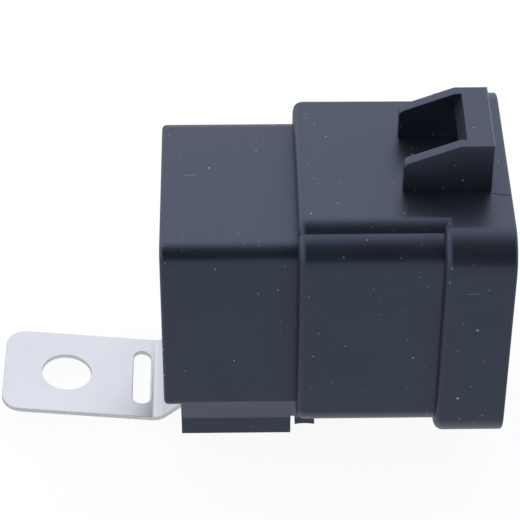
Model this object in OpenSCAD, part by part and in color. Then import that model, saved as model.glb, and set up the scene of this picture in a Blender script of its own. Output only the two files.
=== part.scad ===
// Automotive changeover relay in a sealed, skirted housing, lying on its side.
// +X points out of the connector mouth, +Z up, and Z = 0 is the surface that it rests on.
// Local coordinates inside relay(): x from the closed end of the can, z from the axis of the can.

/* [Can] */
// Width of the can
can_w = 28; // [26.5:0.1:32]
// Height of the can
can_h = 27.8; // [26.5:0.1:32]
// Length of the can, from its closed end to the shoulder
can_l = 17.8; // [15:0.1:26]
// Wall of the can
can_wall = 1.3; // [1:0.05:1.6]
// Radius of the upper long edges
can_top_r = 2.2; // [1.5:0.1:4]
// Radius of the lower long edges
can_bottom_r = 1.3; // [0.9:0.1:2.5]
// Radius of the edge around the closed end
can_end_r = 0.6; // [0.3:0.1:0.9]

/* [Skirt] */
// Length of the skirt, from the shoulder to the mouth flange
skirt_l = 18.6; // [14:0.1:26]
// Step from the can out to each side of the skirt
skirt_side = 2.5; // [2.2:0.1:4]
// Step from the can up to the top of the skirt
skirt_rise = 2.3; // [2:0.1:3]
// Step from the can down to the bottom of the skirt
skirt_drop = 1.8; // [1.7:0.1:3]
// Wall of the skirt
skirt_wall = 1.5; // [1.2:0.05:1.7]
// Radius of the long edges of the skirt
skirt_r = 3.5; // [2.5:0.1:5]
// Radius of the shoulder's outer edge
shoulder_r = 1.2; // [0.5:0.1:1.6]
// Thickness of the shoulder
shoulder_t = 1.7; // [1.2:0.1:2.5]

/* [Mouth flange] */
// Length of the flange around the mouth
flange_l = 9.2; // [6:0.1:14]
// Step from the can out to each side of the flange
flange_side = 3.9; // [3.6:0.1:6]
// Step from the can to the top and to the bottom of the flange
flange_rise = 3.4; // [3.2:0.1:5]
// Wall of the flange
flange_wall = 1.6; // [1.2:0.05:2]
// Radius of the long edges of the flange
flange_r = 4.7; // [3.5:0.1:6]
// Radius of the flange's edge towards the can
flange_edge_r = 1.2; // [0.5:0.1:2]
// Radius of the edge of the mouth
mouth_r = 0.35; // [0.2:0.05:0.6]

/* [Latch pad] */
// Width of the raised pad along the top of the skirt
pad_w = 27.2; // [20:0.1:29]
// Radius of the pad's long edges
pad_r = 2.4; // [1.2:0.1:3]

/* [Latch bridge] */
// Outer width of the bridge
latch_w = 12.6; // [10:0.1:20]
// Length of the bridge
latch_l = 11.5; // [9:0.1:14]
// Thickness of each side wall
latch_wall = 1.5; // [1:0.1:2.5]
// Height of the walls at their low end
latch_low = 4.7; // [2:0.1:5]
// Height of the bridge over the flange
latch_high = 7.4; // [7:0.1:10]
// Distance from the bridge to the mouth
latch_setback = 2.6; // [1:0.1:5]
// Width of the crossbar along the relay
bar_l = 4.3; // [3:0.1:6]
// Thickness of the crossbar
bar_t = 2.2; // [1.5:0.1:2.5]
// Radius of the crossbar's leading edge
bar_r = 0.9; // [0.3:0.1:1.2]
// Radius of the walls' low corners
latch_r = 0.6; // [0.2:0.1:1]

/* [Bracket holder] */
// Distance from the closed end to the holder under the can
holder_inset = 2.25; // [1:0.05:4]
// Gap between the holder and the shoulder
holder_gap = 0.6; // [0.4:0.1:2]
// Width of the holder
holder_w = 24; // [20:0.1:26]
// Height of the holder
holder_h = 2.95; // [2.4:0.05:3.3]
// Height of the tapered foot between the can and the holder
foot_h = 4; // [3:0.1:5]
// Distance from each side of the can to the foot
foot_inset = 0.7; // [0.5:0.1:1.2]
// Step up from the bottom of the foot, beside the shoulder
foot_step = 0.45; // [0.2:0.05:1]
// Depth of the holder's roof over the tab
holder_roof = 1.1; // [0.3:0.05:1.4]
// Length of the stop lugs under the skirt
lug_l = 2.7; // [1.5:0.1:5]
// Width of each stop lug
lug_w = 5; // [3:0.1:8]
// Height of each stop lug
lug_h = 4.6; // [2:0.1:5]
// Depth of the hollow in the underside of each stop lug
lug_hollow = 0.25; // [0.1:0.05:0.3]
// Distance from the foot of the skirt's flat bottom to each lug
lug_inset = 2; // [0:0.1:4]

/* [Mounting bracket] */
// Thickness of the sheet
sheet_t = 0.7; // [0.4:0.05:0.8]
// Width of the bracket
bracket_w = 15.8; // [12:0.1:18]
// Distance that the bracket reaches below its holder
bracket_drop = 1.55; // [1.2:0.05:3]
// Length of the flat plate
plate_l = 21; // [18:0.1:30]
// Rise of the plate away from the can, in degrees
plate_tilt = 6.2; // [0:0.1:10]
// Slope of the ramp, in degrees
ramp_angle = 41; // [30:1:50]
// Mean radius of the bend into the holder
upper_bend_r = 1.3; // [0.8:0.1:2]
// Mean radius of the bend at the foot of the ramp
lower_bend_r = 2.4; // [1:0.1:3]
// Radius of the plate's outer corners
corner_r = 2.8; // [1:0.1:5]
// Diameter of the screw hole
hole_d = 7; // [5:0.1:7.2]
// Distance from the end of the plate to the centre of the screw hole
hole_inset = 8.8; // [6:0.1:10]
// Length of the slot
slot_l = 10.5; // [6:0.1:11]
// Width of the slot
slot_w = 2.7; // [1.5:0.1:2.8]
// Distance from the foot of the ramp's bend to the slot
slot_inset = 0.2; // [0:0.05:1]

/* [Base] */
// Height of the rim that seats the base on the shoulder
rim_h = 3.5; // [3.2:0.1:5]
// Thickness of the rim
rim_t = 1.4; // [1:0.1:1.6]
// Thickness of the base plate
base_t = 2.4; // [1.8:0.1:3.5]
// Thickness of the sealing compound over the base
seal_t = 1.2; // [0.6:0.1:2]

/* [Terminals] */
// Width of the flat blades
blade_w = 6.3; // [4.8:0.1:6.3]
// Thickness of the flat blades
blade_t = 0.8; // [0.6:0.05:0.9]
// Free length of the blades
blade_l = 12; // [9:0.1:14]
// Length of the chamfer at the tips
blade_lead = 1.2; // [0.6:0.1:2]
// Diameter of the detent hole in each blade
detent_d = 1.8; // [1.2:0.1:2]
// Distance from the tip to the detent hole
detent_inset = 4.1; // [3:0.1:5]
// Distance between the two coil blades
coil_pitch = 16.8; // [16:0.1:17.4]
// Height of the coil blades over the can's axis
coil_blade_z = -0.8; // [-1.5:0.1:0.4]
// Height of the middle contact blade over the can's axis
middle_z = 0.4; // [0:0.1:1]
// Distance from the middle blade up to the working contact blade
working_rise = 8.2; // [8:0.1:8.6]
// Distance from the middle blade down to the common blade
common_drop = 9.2; // [9:0.1:9.4]
// Thickness of the contact strips inside
strip_t = 0.8; // [0.5:0.05:0.9]

/* [Magnet system] */
// Height of the coil's axis under the can's axis
coil_drop = 2.2; // [2:0.1:2.6]
// Diameter of the iron core
core_d = 6; // [4:0.1:7]
// Diameter of the pole face
pole_d = 8; // [7:0.1:9]
// Thickness of the pole face
pole_t = 1; // [0.6:0.1:1.4]
// Diameter of the core's riveted end
stub_d = 4.4; // [3:0.1:4.8]
// Diameter of the bobbin's flanges
bobbin_d = 14.4; // [13:0.1:14.8]
// Thickness of the bobbin's flanges
bobbin_flange_t = 1; // [0.8:0.1:1.5]
// Wall of the bobbin's tube
bobbin_wall = 0.8; // [0.5:0.1:1.2]
// Outer diameter of the winding
winding_d = 12.8; // [11:0.1:12.9]
// Thickness of the yoke
yoke_t = 1.6; // [1.2:0.1:1.8]
// Width of the yoke
yoke_w = 13; // [9:0.1:14]
// Space under the yoke's foot
foot_lift = 2.2; // [2:0.1:2.8]

/* [Armature and contacts] */
// Thickness of the armature
armature_t = 1.5; // [1:0.1:1.8]
// Width of the armature
armature_w = 12; // [9:0.1:13]
// Reach of the armature past the pole face
armature_past = 0.8; // [0.3:0.1:1.2]
// Thickness of the contact spring
leaf_t = 0.25; // [0.15:0.05:0.35]
// Width of the contact spring
leaf_w = 8; // [6:0.1:10]
// Width of the spring's contact arm
leaf_arm_w = 4.4; // [3.8:0.1:4.6]
// Inner radius of the spring's bend
leaf_r = 1; // [0.7:0.1:1]
// Distance from the coil's axis to the contacts
contact_out = 9.1; // [8.9:0.1:9.6]
// Diameter of the contacts
contact_d = 3; // [2:0.1:3.2]
// Height of each contact's head
contact_h = 0.6; // [0.4:0.05:0.7]
// Radius of the contacts' domes
contact_dome_r = 12; // [8:1:30]
// Travel of the moving contact
contact_travel = 1.3; // [0.8:0.05:1.5]

/* [Suppression resistor] */
// Diameter of the resistor
resistor_d = 2.4; // [1.8:0.1:2.8]
// Length of the resistor
resistor_l = 6.5; // [5:0.1:8]
// Diameter of the lead wires
wire_d = 0.6; // [0.4:0.05:0.7]

/* [Clearances] */
// Gap between the base and the skirt
base_fit = 0.1; // [0.05:0.05:0.2]
// Gap around what passes through or seats in another piece
seat_fit = 0.05; // [0.03:0.01:0.08]
// Gap of the armature over the pole face and between closed contacts
air_gap = 0.1; // [0.05:0.01:0.15]
// Room between the contact strip and the closed end
cap_clear = 0.55; // [0.3:0.05:0.8]

/* [Hidden] */
$fn = 64;
sink = 1; // how far joined masses reach into each other
rim_steps = 6; // steps of a rounded edge

black = [0.16, 0.17, 0.2];
steel = [0.78, 0.79, 0.82];
tin = [0.8, 0.8, 0.77];
brass = [0.8, 0.68, 0.4];
copper = [0.72, 0.36, 0.18];
silver = [0.9, 0.9, 0.88];
pale_plastic = [0.86, 0.83, 0.74];
resin = [0.12, 0.11, 0.1];
resistor_blue = [0.35, 0.5, 0.62];

leg_gap = 0.4; // room between the bobbin's flange and the yoke's leg
riser_gap = 0.6; // room between the resting strip and the can's wall
pivot_gap = 0.1; // room between the knife edge and the spring's bend
strip_edge = 0.4; // strip left around a fixed contact
strip_side = 0.3; // how much wider the working strip is than the spring's arm, each side
arm_gap = 2; // from the spring's arm to the resting strip beside it
arm_w = 3; // width of that resting strip
tail_rise = 3; // height of the resting strip's foot over the middle blade
tip_ratio = 0.4; // thickness of a blade's tip over the blade's
waist_ratio = 0.86; // diameter of the resistor's waist over its ends'
rivet_d = 2;
rivet_h = 0.5;
rivet_shank = 1;

// Levels of the housing
can_top = can_h / 2;
skirt_top = can_top + skirt_rise;
skirt_bottom = -can_top - skirt_drop;
flange_top = can_top + flange_rise;
flange_bottom = -flange_top;
shoulder_x = can_l;
flange_x = can_l + skirt_l;
mouth_x = flange_x + flange_l;
skirt_w = can_w + 2 * skirt_side;
flange_w = can_w + 2 * flange_side;

// Bores of the housing
bore_x = shoulder_x + shoulder_t;
can_bore_r = 1;
skirt_bore_r = skirt_r - skirt_wall;
flange_bore_r = flange_r - flange_wall;
flange_bore_x = flange_x + flange_wall;

// Bracket: a path of straights and bends along the middle of the sheet
holder_x1 = shoulder_x - holder_gap;
holder_top = -can_top - foot_h;
holder_bottom = holder_top - holder_h;
rest_z = holder_bottom - bracket_drop;
tab_z = holder_top - holder_roof - seat_fit - sheet_t / 2;
tab_end_x = holder_x1 - can_wall;
upper_bend = [holder_inset + seat_fit + sheet_t / 2, tab_z - upper_bend_r];
ramp_top = upper_bend + upper_bend_r * [-sin(ramp_angle), cos(ramp_angle)];
lower_bend_z = rest_z + sheet_t / 2 + lower_bend_r;
ramp_foot_z = lower_bend_z - lower_bend_r * cos(ramp_angle);
ramp_l = (ramp_top[1] - ramp_foot_z) / sin(ramp_angle);
ramp_foot = ramp_top - ramp_l * [cos(ramp_angle), sin(ramp_angle)];
lower_bend = ramp_foot + lower_bend_r * [-sin(ramp_angle), cos(ramp_angle)];
plate_foot = lower_bend - lower_bend_r * [sin(plate_tilt), cos(plate_tilt)];
plate_dir = [-cos(plate_tilt), sin(plate_tilt)];
plate_up = [sin(plate_tilt), cos(plate_tilt)];
plate_end = plate_foot + plate_l * plate_dir;
bracket_reach = -(plate_end - sheet_t / 2 * plate_up)[0];
cap_x = bracket_reach - (mouth_x + bracket_reach) / 2;

// Levels of the mechanism, from the closed end
nc_strip_x = can_wall + cap_clear;
nc_face_x = nc_strip_x + strip_t + contact_h;
leaf_x = nc_face_x + air_gap + contact_h + contact_travel;
armature_x = leaf_x + leaf_t;
no_face_x = armature_x + contact_h + air_gap;
no_strip_x = no_face_x + contact_h;
yoke_end_x = armature_x + armature_t;
pole_x = yoke_end_x + air_gap;
bobbin_x = pole_x + pole_t + seat_fit;
base_x = bore_x + rim_h;
foot_x = base_x - foot_lift - yoke_t;
bobbin_end_x = foot_x - seat_fit;
seal_x = base_x + base_t;
blade_x = seal_x + seal_t;
blade_tip_x = blade_x + blade_l;

// Levels of the mechanism across the relay
leg_in_z = -coil_drop - bobbin_d / 2 - leg_gap;
leg_out_z = leg_in_z - yoke_t;
contact_z = -coil_drop + contact_out;
working_z = middle_z + working_rise;
common_z = middle_z - common_drop;
pivot_z = leg_out_z + leaf_r + pivot_gap;
swing = asin(contact_travel / (contact_z - pivot_z));
armature_end_z = -coil_drop + pole_d / 2 + armature_past;
coil_blade_y = coil_pitch / 2;
nc_riser_z = can_top - can_wall - strip_t - riser_gap;
nc_arm_y = [leaf_arm_w / 2 + arm_gap, leaf_arm_w / 2 + arm_gap + arm_w];
rivet_hole_d = rivet_d / 2;
rivet_y = [-leaf_w / 4, leaf_w / 4];
armature_rivet_z = (pivot_z + armature_end_z) / 2;
yoke_rivet_x = yoke_end_x + 5;
leaf_foot_x = yoke_rivet_x + rivet_d;
contact_shank_d = contact_d / 2;

// Resistor and its leads
lead_x = foot_x + yoke_t + (foot_lift - strip_t) / 2;
wire_bend_r = wire_d;
resistor_x = (armature_x + armature_t + foot_x - resistor_l) / 2;
resistor_z = common_z + blade_w / 2 + wire_d;

function arc(c, r, from, to, steps) =
    [for (i = [0:steps]) let (a = from + (to - from) * i / steps) c + r * [cos(a), sin(a)]];
function reversed(points) = [for (i = [len(points) - 1:-1:0]) points[i]];

module relay() {
    translate([cap_x, 0, -rest_z]) children();
}

// Extrudes an outline drawn in X and Z, half to each side of y = 0
module across(w) {
    rotate([90, 0, 0]) linear_extrude(w, center = true) children();
}

// Extrudes an outline drawn in Y and Z from x to x + l
module along(x, l) {
    translate([x, 0, 0]) rotate([90, 0, 90]) linear_extrude(l) children();
}

module block(x, y, z) {
    translate([x[0], y[0], z[0]]) cube([x[1] - x[0], y[1] - y[0], z[1] - z[0]]);
}

// Rod along X with rounded edges at both ends
module nosed_rod(x, l, r, nose_r, tail_r) {
    translate([x, 0, 0]) rotate([0, 90, 0]) rotate_extrude($fn = 32)
        polygon(concat(
            [[0, 0]],
            arc([r - nose_r, nose_r], nose_r, -90, 0, rim_steps),
            arc([r - tail_r, l - tail_r], tail_r, 0, 90, rim_steps),
            [[0, l]]));
}

// Box along X with rounded long edges and rounded end edges
module rounded_mass(x, l, w, top, bottom, top_r, bottom_r, nose_r, tail_r) {
    hull() for (side = [-1, 1]) {
        translate([0, side * (w / 2 - top_r), top - top_r]) nosed_rod(x, l, top_r, nose_r, tail_r);
        translate([0, side * (w / 2 - bottom_r), bottom + bottom_r])
            nosed_rod(x, l, bottom_r, min(nose_r, bottom_r), min(tail_r, bottom_r));
    }
}

// Outline in Y and Z with four equal corners
module rounded_outline(w, top, bottom, r) {
    translate([-w / 2, bottom + r]) square([w, top - bottom - 2 * r]);
    translate([-w / 2 + r, bottom]) square([w - 2 * r, top - bottom]);
    for (y = [-w / 2 + r, w / 2 - r], z = [bottom + r, top - r]) translate([y, z]) circle(r);
}

// The skirt's bore, made smaller all round by a gap
module skirt_bore_outline(gap) {
    inset = skirt_wall + gap;
    rounded_outline(skirt_w - 2 * inset, skirt_top - inset, skirt_bottom + inset, skirt_bore_r);
}

module can_mass() {
    rounded_mass(0, can_l + sink, can_w, can_top, -can_top, can_top_r, can_bottom_r, can_end_r, can_end_r);
}

module skirt_mass() {
    rounded_mass(shoulder_x, skirt_l + flange_edge_r + sink, skirt_w, skirt_top, skirt_bottom,
        skirt_r, skirt_r, shoulder_r, shoulder_r / 2);
}

module flange_mass() {
    rounded_mass(flange_x, flange_l, flange_w, flange_top, flange_bottom, flange_r, flange_r,
        flange_edge_r, mouth_r);
}

module pad_mass() {
    rounded_mass(shoulder_x, skirt_l + flange_edge_r + sink, pad_w, flange_top, 0, pad_r, pad_r,
        shoulder_r, shoulder_r / 2);
}

// Two ramped side walls under a crossbar, where the connector's latch snaps in
module latch_bridge() {
    x1 = mouth_x - latch_setback;
    x0 = x1 - latch_l;
    bar_x = x1 - bar_l;
    foot = flange_top - sink;
    low = flange_top + latch_low;
    high = flange_top + latch_high;
    for (side = [-1, 1])
        translate([0, side * (latch_w - latch_wall) / 2, 0]) across(latch_wall)
            polygon(concat(
                [[x1, foot], [x0, foot]],
                arc([x0 + latch_r, low - latch_r], latch_r, 180, 110, 4),
                [[bar_x, high], [x1, high]]));
    across(latch_w)
        polygon(concat(
            [[x1, high], [x1, high - bar_t], [bar_x, high - bar_t]],
            arc([bar_x + bar_r, high - bar_r], bar_r, 180, 90, rim_steps)));
}

// Block on a tapered foot under the can, which grips the bracket's tab
module bracket_holder() {
    root = can_wall / 2;
    half = holder_w / 2;
    root_half = half + (can_w / 2 - foot_inset - half) * (foot_h + root) / foot_h;
    step_z = holder_top + foot_step;
    intersection() {
        along(holder_inset, shoulder_x + sink - holder_inset)
            polygon([
                [-root_half, -can_top + root], [-half, holder_top], [-half, holder_bottom],
                [half, holder_bottom], [half, holder_top], [root_half, -can_top + root]]);
        across(can_w)
            polygon([
                [holder_inset, -can_top + root], [holder_inset, holder_bottom], [holder_x1, holder_bottom],
                [holder_x1, step_z], [shoulder_x, step_z], [shoulder_x + sink, -can_top],
                [shoulder_x + sink, -can_top + root]]);
    }
}

module tab_slot() {
    half = bracket_w / 2 + seat_fit;
    z = [tab_z - sheet_t / 2 - seat_fit, tab_z + sheet_t / 2 + seat_fit];
    block([holder_inset - sink, tab_end_x + seat_fit], [-half, half], z);
}

// Lugs under the skirt, behind the holder, with a hollowed underside
module stop_lugs() {
    bottom = skirt_bottom - lug_h;
    hollow_r = 2 * lug_l;
    for (side = [-1, 1])
        translate([0, side * (skirt_w / 2 - skirt_r - lug_inset - lug_w / 2), 0]) difference() {
            block([shoulder_x, shoulder_x + lug_l], [-lug_w / 2, lug_w / 2], [bottom, skirt_bottom + sink]);
            translate([shoulder_x + lug_l / 2, 0, bottom - hollow_r + lug_hollow])
                rotate([90, 0, 0]) cylinder(h = lug_w + sink, r = hollow_r, center = true);
        }
}

module housing() {
    color(black) relay() difference() {
        union() {
            can_mass();
            skirt_mass();
            flange_mass();
            pad_mass();
            latch_bridge();
            bracket_holder();
            stop_lugs();
        }
        along(can_wall, bore_x - can_wall + sink)
            rounded_outline(can_w - 2 * can_wall, can_top - can_wall, -can_top + can_wall, can_bore_r);
        along(bore_x, mouth_x - bore_x + sink) skirt_bore_outline(0);
        along(flange_bore_x, mouth_x - flange_bore_x + sink)
            rounded_outline(flange_w - 2 * flange_wall, flange_top - flange_wall, flange_bottom + flange_wall,
                flange_bore_r);
        tab_slot();
    }
}

// One side of the bent sheet, from the tab to the end of the plate
function sheet_side(s) = concat(
    [[tab_end_x, tab_z + s]],
    arc(upper_bend, upper_bend_r + s, 90, 90 + ramp_angle, rim_steps),
    arc(lower_bend, lower_bend_r - s, 270 + ramp_angle, 270 - plate_tilt, 2 * rim_steps),
    [plate_end + s * plate_up]);

// Moves its children to a distance from the plate's end, square to the plate
module on_plate(distance) {
    place = plate_end - distance * plate_dir;
    translate([place[0], 0, place[1]]) rotate([0, plate_tilt, 0]) children();
}

module plate_outline() {
    x0 = -bracket_reach;
    translate([x0 + corner_r, -bracket_w / 2]) square([tab_end_x + sink - x0 - corner_r, bracket_w]);
    translate([x0, -bracket_w / 2 + corner_r]) square([corner_r + sink, bracket_w - 2 * corner_r]);
    for (y = [-1, 1]) translate([x0 + corner_r, y * (bracket_w / 2 - corner_r)]) circle(corner_r);
}

module slot_outline() {
    square([slot_w, slot_l - slot_w], center = true);
    for (y = [-1, 1]) translate([0, y * (slot_l - slot_w) / 2]) circle(d = slot_w);
}

module mounting_bracket() {
    slot_distance = plate_l - slot_inset - slot_w / 2;
    color(steel) relay() difference() {
        intersection() {
            across(bracket_w) polygon(concat(sheet_side(sheet_t / 2), reversed(sheet_side(-sheet_t / 2))));
            translate([0, 0, rest_z - sink]) linear_extrude(can_h) plate_outline();
        }
        on_plate(hole_inset) cylinder(h = 4 * sheet_t, d = hole_d, center = true);
        on_plate(slot_distance) linear_extrude(4 * sheet_t, center = true) slot_outline();
    }
}

// Passages for the five blades, with a gap round each
module blade_passages(x, l, gap) {
    w = blade_w + 2 * gap;
    t = blade_t + 2 * gap;
    for (z = [middle_z, working_z]) block([x, x + l], [-w / 2, w / 2], [z - t / 2, z + t / 2]);
    block([x, x + l], [-t / 2, t / 2], [common_z - w / 2, common_z + w / 2]);
    for (side = [-1, 1])
        translate([0, side * coil_blade_y, coil_blade_z])
            block([x, x + l], [-t / 2, t / 2], [-w / 2, w / 2]);
}

module base_plate() {
    color(black) relay() difference() {
        along(bore_x, rim_h + base_t) skirt_bore_outline(base_fit);
        along(bore_x - sink, rim_h + sink) skirt_bore_outline(base_fit + rim_t);
        blade_passages(base_x - sink, base_t + 2 * sink, seat_fit);
    }
}

module sealing_compound() {
    color(resin) relay() difference() {
        along(seal_x, seal_t) skirt_bore_outline(seat_fit);
        blade_passages(seal_x - sink, seal_t + 2 * sink, seat_fit);
    }
}

// Flat blade from the base's inner face to its chamfered tip, lying in X and Y
module blade() {
    tip_w = blade_w - blade_lead;
    tip_t = blade_t * tip_ratio;
    difference() {
        intersection() {
            linear_extrude(blade_t, center = true)
                polygon([
                    [base_x, -blade_w / 2], [blade_tip_x - blade_lead, -blade_w / 2],
                    [blade_tip_x, -tip_w / 2], [blade_tip_x, tip_w / 2],
                    [blade_tip_x - blade_lead, blade_w / 2], [base_x, blade_w / 2]]);
            across(blade_w)
                polygon([
                    [base_x, -blade_t / 2], [blade_tip_x - blade_lead, -blade_t / 2],
                    [blade_tip_x, -tip_t / 2], [blade_tip_x, tip_t / 2],
                    [blade_tip_x - blade_lead, blade_t / 2], [base_x, blade_t / 2]]);
        }
        translate([blade_tip_x - detent_inset, 0, 0])
            cylinder(h = 3 * blade_t, d = detent_d, center = true);
    }
}

// Common terminal, welded to the foot of the yoke
module terminal_30() {
    color(tin) relay() {
        translate([0, 0, common_z]) rotate([90, 0, 0]) blade();
        block([foot_x + yoke_t, base_x], [-blade_t / 2, blade_t / 2],
            [common_z - blade_w / 2 + sink, common_z + blade_w / 2 - sink]);
    }
}

// Coil terminal with a narrow post for the coil's wire
module coil_terminal(side) {
    post_w = blade_w / 3;
    color(tin) relay() translate([0, side * coil_blade_y, coil_blade_z]) {
        rotate([90, 0, 0]) blade();
        block([base_x - foot_lift - yoke_t, base_x], [-blade_t / 2, blade_t / 2], [-post_w / 2, post_w / 2]);
    }
}

module terminal_85() {
    coil_terminal(-1);
}

module terminal_86() {
    coil_terminal(1);
}

// Working terminal: a riser beside the coil, bent in under the moving contact
module terminal_87() {
    half = leaf_arm_w / 2 + strip_side;
    z1 = working_z + strip_t / 2;
    color(tin) relay() {
        translate([0, 0, working_z]) blade();
        difference() {
            union() {
                block([no_strip_x, base_x], [-half, half], [z1 - strip_t, z1]);
                block([no_strip_x, no_strip_x + strip_t], [-half, half], [contact_z - contact_d / 2 - strip_edge, z1]);
            }
            contact_hole(no_strip_x);
        }
    }
}

// Resting terminal: runs along the base, up the wall and out over the moving contact
module terminal_87a() {
    half = leaf_arm_w / 2;
    foot = [base_x - strip_t, base_x];
    riser_z = [nc_riser_z, nc_riser_z + strip_t];
    color(tin) relay() {
        translate([0, 0, middle_z]) blade();
        block(foot, [-blade_w / 2, nc_arm_y[1]], [middle_z - blade_t / 2, middle_z + tail_rise]);
        block(foot, nc_arm_y, [middle_z, riser_z[1]]);
        block([nc_strip_x, base_x], nc_arm_y, riser_z);
        difference() {
            block([nc_strip_x, nc_strip_x + strip_t], [-half, nc_arm_y[1]],
                [contact_z - contact_d / 2 - strip_edge, riser_z[1]]);
            contact_hole(nc_strip_x);
        }
    }
}

module x_cylinder(x, l, d) {
    translate([x, 0, 0]) rotate([0, 90, 0]) cylinder(h = l, d = d);
}

// L-shaped frame of the magnet, with the armature's knife edge at its free end
module yoke() {
    foot_top_z = -coil_drop + core_d;
    color(steel) relay() difference() {
        union() {
            block([yoke_end_x, foot_x + yoke_t], [-yoke_w / 2, yoke_w / 2], [leg_out_z, leg_in_z]);
            block([foot_x, foot_x + yoke_t], [-yoke_w / 2, yoke_w / 2], [leg_in_z - sink / 2, foot_top_z]);
        }
        translate([0, 0, -coil_drop]) x_cylinder(foot_x - sink, yoke_t + 2 * sink, stub_d + 2 * seat_fit);
        at_yoke_rivets() rivet_bores(leaf_t + rivet_shank);
    }
}

module iron_core() {
    color(steel) relay() translate([0, 0, -coil_drop]) {
        x_cylinder(pole_x, pole_t, pole_d);
        x_cylinder(pole_x + pole_t / 2, foot_x - pole_x - pole_t / 2, core_d);
        x_cylinder(foot_x - sink, yoke_t + sink, stub_d);
    }
}

module coil_bobbin() {
    tube_d = core_d + 2 * seat_fit + 2 * bobbin_wall;
    l = bobbin_end_x - bobbin_x;
    color(pale_plastic) relay() translate([0, 0, -coil_drop]) difference() {
        union() {
            x_cylinder(bobbin_x, bobbin_flange_t, bobbin_d);
            x_cylinder(bobbin_end_x - bobbin_flange_t, bobbin_flange_t, bobbin_d);
            x_cylinder(bobbin_x, l, tube_d);
        }
        x_cylinder(bobbin_x - sink, l + 2 * sink, core_d + 2 * seat_fit);
    }
}

module coil_winding() {
    x0 = bobbin_x + bobbin_flange_t + seat_fit;
    x1 = bobbin_end_x - bobbin_flange_t - seat_fit;
    inner_d = core_d + 2 * bobbin_wall + 4 * seat_fit;
    color(copper) relay() translate([0, 0, -coil_drop]) difference() {
        x_cylinder(x0, x1 - x0, winding_d);
        x_cylinder(x0 - sink, x1 - x0 + 2 * sink, inner_d);
    }
}

// Quarter turn of a wire at a corner, coming in along a and leaving along b
module wire_bend(corner, a, b) {
    centre = corner + wire_bend_r * (b - a);
    side = cross(a, b);
    multmatrix([for (i = [0:2]) [-b[i], a[i], side[i], centre[i]]])
        rotate_extrude(angle = 90, $fn = 32) translate([wire_bend_r, 0]) circle(d = wire_d, $fn = 24);
}

// Straight wire along an axis
module wire_straight(from, to) {
    d = (to - from) / norm(to - from);
    x = [d[1], d[2], d[0]];
    y = cross(d, x);
    multmatrix([for (i = [0:2]) [x[i], y[i], d[i], from[i]]])
        cylinder(h = norm(to - from), d = wire_d, $fn = 24);
}

// Wire along straights that each follow an axis, with a bend at each corner
module wire(points) {
    last = len(points) - 1;
    way = [for (i = [0:last - 1]) (points[i + 1] - points[i]) / norm(points[i + 1] - points[i])];
    for (i = [0:last - 1])
        wire_straight(points[i] + (i > 0 ? wire_bend_r : 0) * way[i],
            points[i + 1] - (i < last - 1 ? wire_bend_r : 0) * way[i]);
    for (i = [1:last - 1]) wire_bend(points[i], way[i - 1], way[i]);
}

// Wires from the winding, past the bobbin's flange to the two coil terminals
module coil_leads() {
    x0 = bobbin_end_x - bobbin_flange_t - wire_d - seat_fit;
    y = coil_blade_y - blade_t / 2 - wire_d / 2 - seat_fit;
    color(copper) relay() for (side = [0, 1]) mirror([0, side, 0])
        wire([[x0, winding_d / 2 - seat_fit, coil_blade_z], [x0, y, coil_blade_z], [lead_x, y, coil_blade_z]]);
}

// Swings its children away from the pole, as the armature rests
module released() {
    translate([yoke_end_x, 0, pivot_z]) rotate([0, -swing, 0]) translate([-yoke_end_x, 0, -pivot_z])
        children();
}

// Rivet with its head at x = 0 and its shank along +X
module rivet(shank_l) {
    translate([-rivet_h, 0, 0]) x_cylinder(0, rivet_h, rivet_d);
    x_cylinder(-rivet_h / 2, shank_l + rivet_h / 2, rivet_hole_d);
}

module rivet_bores(l) {
    x_cylinder(-sink, l + seat_fit + sink, rivet_hole_d + 2 * seat_fit);
}

module at_armature_rivets() {
    for (y = rivet_y) translate([leaf_x, y, armature_rivet_z]) children();
}

module at_yoke_rivets() {
    for (y = rivet_y) translate([yoke_rivet_x, y, leg_out_z - leaf_t]) rotate([0, -90, 0]) children();
}

// Iron plate with chamfered corners at its free end
module armature() {
    half = armature_w / 2;
    chamfer = armature_w / 5;
    color(steel) relay() released() difference() {
        along(armature_x, armature_t)
            polygon([
                [-half, pivot_z], [half, pivot_z],
                [half, armature_end_z - chamfer], [half - chamfer, armature_end_z],
                [-half + chamfer, armature_end_z], [-half, armature_end_z - chamfer]]);
        at_armature_rivets() rivet_bores(leaf_t + rivet_shank);
    }
}

module armature_rivets() {
    color(steel) relay() released() at_armature_rivets() rivet(leaf_t + rivet_shank);
}

module yoke_rivets() {
    color(steel) relay() at_yoke_rivets() rivet(leaf_t + rivet_shank);
}

// One face of the bent spring: up the yoke, round the hinge and over the armature
function leaf_side(s) =
    let (face = [yoke_end_x, pivot_z] - armature_t * [cos(swing), sin(swing)],
         over = [-sin(swing), cos(swing)],
         corner = face + over * (leg_out_z - face[1]) / over[1],
         tangent = leaf_r * tan((90 - swing) / 2),
         centre = corner + [tangent, leaf_r],
         out = [-cos(swing), -sin(swing)],
         tip = face + over * (contact_z + contact_d / 2 + strip_edge - pivot_z) + s * out)
    concat([[leaf_foot_x, leg_out_z - s]], arc(centre, leaf_r + s, 270, 180 + swing, 2 * rim_steps), [tip]);

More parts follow.
